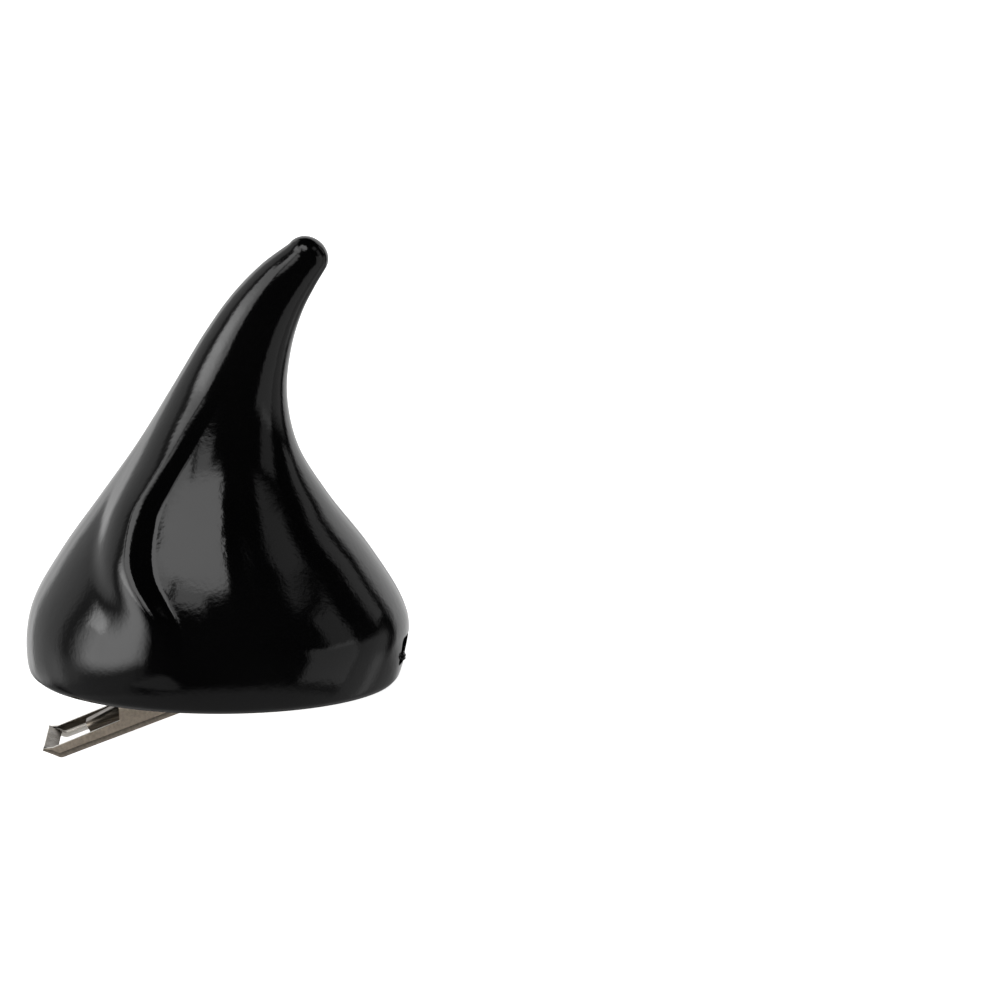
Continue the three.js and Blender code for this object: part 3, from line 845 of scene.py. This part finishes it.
def make_floor():
    """Large pale floor that glows a little, as a lit white sweep does."""
    half = SWEEP["half"]
    corners = [(-half, -half, 0), (half, -half, 0), (half, half, 0), (-half, half, 0)]
    mesh = bpy.data.meshes.new("floor")
    mesh.from_pydata(corners, [], [(0, 1, 2, 3)])
    floor = bpy.data.objects.new("floor", mesh)
    bpy.context.scene.collection.objects.link(floor)
    material, nodes, links, shader = new_material("floor_white")
    tints = add_tints(nodes, links, add_noise(nodes, links, SWEEP_NOISE), SWEEP_COLOURS)
    links.new(tints, shader.inputs["Base Color"])
    shader.inputs["Roughness"].default_value = SWEEP["roughness"]
    shader.inputs["Emission Color"].default_value = WHITE
    shader.inputs["Emission Strength"].default_value = SWEEP["glow"]
    mesh.materials.append(material)
    floor.visible_glossy = False


def add_math(nodes, links, operation, first, second):
    """A sum on two values, either of which may be a plain number."""
    step = nodes.new("ShaderNodeMath")
    step.operation = operation
    for socket, value in zip(step.inputs, (first, second)):
        if isinstance(value, float):
            socket.default_value = value
        else:
            links.new(value, socket)
    return step.outputs["Value"]


def add_side(nodes, links, angle, half_size, edge):
    """One inside a panel's side and nothing outside it, with a soft edge."""
    away = add_math(nodes, links, "ABSOLUTE", angle, 0.0)
    soft_span = (math.radians(half_size - edge), math.radians(half_size + edge))
    side = add_range(nodes, links, away, (1.0, 0.0), soft_span)
    side.node.interpolation_type = "SMOOTHSTEP"
    return side


def add_panel(nodes, links, direction, panel):
    """Brightness of one panel in a direction of the horn's frame."""
    turned = nodes.new("ShaderNodeVectorRotate")
    turned.rotation_type = "Z_AXIS"
    turned.inputs["Angle"].default_value = -math.radians(panel["azimuth"])
    links.new(direction, turned.inputs["Vector"])
    split = nodes.new("ShaderNodeSeparateXYZ")
    links.new(turned.outputs["Vector"], split.inputs["Vector"])
    across = add_math(nodes, links, "ARCTAN2", split.outputs["Y"], split.outputs["X"])
    height = add_math(nodes, links, "ARCSINE", split.outputs["Z"], 0.0)
    above = add_math(nodes, links, "SUBTRACT", height, math.radians(panel["elevation"]))
    wide = add_side(nodes, links, across, panel["half_wide"], panel["edge"])
    tall = add_side(nodes, links, above, panel["half_tall"], panel["edge"])
    inside = add_math(nodes, links, "MULTIPLY", wide, tall)
    return add_math(nodes, links, "MULTIPLY", inside, panel["brightness"])


def make_world():
    """Dim studio with the panels of light round the horn."""
    world = bpy.data.worlds.new("studio")
    bpy.context.scene.world = world
    world.use_nodes = True
    nodes, links = world.node_tree.nodes, world.node_tree.links
    background = nodes["Background"]
    place = nodes.new("ShaderNodeTexCoord")
    upright = nodes.new("ShaderNodeVectorRotate")
    upright.rotation_type = "Y_AXIS"
    upright.inputs["Angle"].default_value = -TO_ROW.to_euler().y
    links.new(place.outputs["Generated"], upright.inputs["Vector"])
    total = STUDIO_DIM
    for row in PANELS:
        panel = dict(zip(PANEL_COLUMNS, row))
        light = add_panel(nodes, links, upright.outputs["Vector"], panel)
        total = add_math(nodes, links, "ADD", light, total)
    links.new(total, background.inputs["Strength"])
    background.inputs["Color"].default_value = WHITE


def make_camera():
    """Camera at the photograph's place: the horn's frame is seen from VIEW_AZIMUTH and VIEW_ELEVATION."""
    right_mm = (PHOTO_SIDE / 2 - RIM_MIDDLE_PX[0]) / PHOTO_SCALE
    up_mm = (RIM_MIDDLE_PX[1] - PHOTO_SIDE / 2) / PHOTO_SCALE
    azimuth = math.radians(VIEW_AZIMUTH) - math.atan(right_mm / CAMERA_DISTANCE)
    elevation = math.radians(VIEW_ELEVATION) - math.atan(up_mm / CAMERA_DISTANCE)
    right = Vector((math.cos(azimuth), math.sin(azimuth), 0))
    back = Vector((math.sin(azimuth) * math.cos(elevation), -math.cos(azimuth) * math.cos(elevation),
                   math.sin(elevation)))
    up = back.cross(right)
    eye = right_mm * right + up_mm * up + CAMERA_DISTANCE * back
    turn = TO_ROW.to_quaternion().to_matrix()
    axes = Matrix([turn @ right, turn @ up, turn @ back]).transposed()
    data = bpy.data.cameras.new("camera")
    data.sensor_width = SENSOR
    data.lens = SENSOR * PHOTO_SCALE * CAMERA_DISTANCE / PHOTO_SIDE
    data.clip_start = CLIP_START
    camera = bpy.data.objects.new("camera", data)
    camera.matrix_world = Matrix.Translation(TO_ROW @ eye) @ axes.to_4x4()
    bpy.context.scene.collection.objects.link(camera)
    bpy.context.scene.camera = camera


def dress():
    """Makes the pieces, hides the CAD parts they stand in for and attaches each piece but the spring to the
    body it moves with.
    """
    metals = [dict(zip(METAL_COLUMNS, row)) for row in METALS]
    # Besides the nickel and the spring steel, these metals are painted shade and painted highlight copies of
    # the nickel
    outside, under, inside, edge_highlight, wire = (metal_finish(metal) for metal in metals)
    pieces = (
        (make_horn(horn_plastic()), "horn_shell", "horn_plastic", "horn"),
        (make_jaw(outside, under, inside, edge_highlight), "clip_jaw", "clip_nickel", "jaw"),
        (make_arm(inside, edge_highlight), "clip_arm", "clip_nickel", "horn"),
        (make_pin(outside), "clip_pin", "clip_nickel", "horn"),
    )
    for piece, node, slot, body in pieces:
        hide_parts(node)
        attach(piece, body)
    spring = make_spring(wire)
    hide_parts("clip_spring")
    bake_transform(spring)


make_camera()
dress()
make_floor()
make_world()
bpy.context.scene.view_settings.view_transform = "Standard"
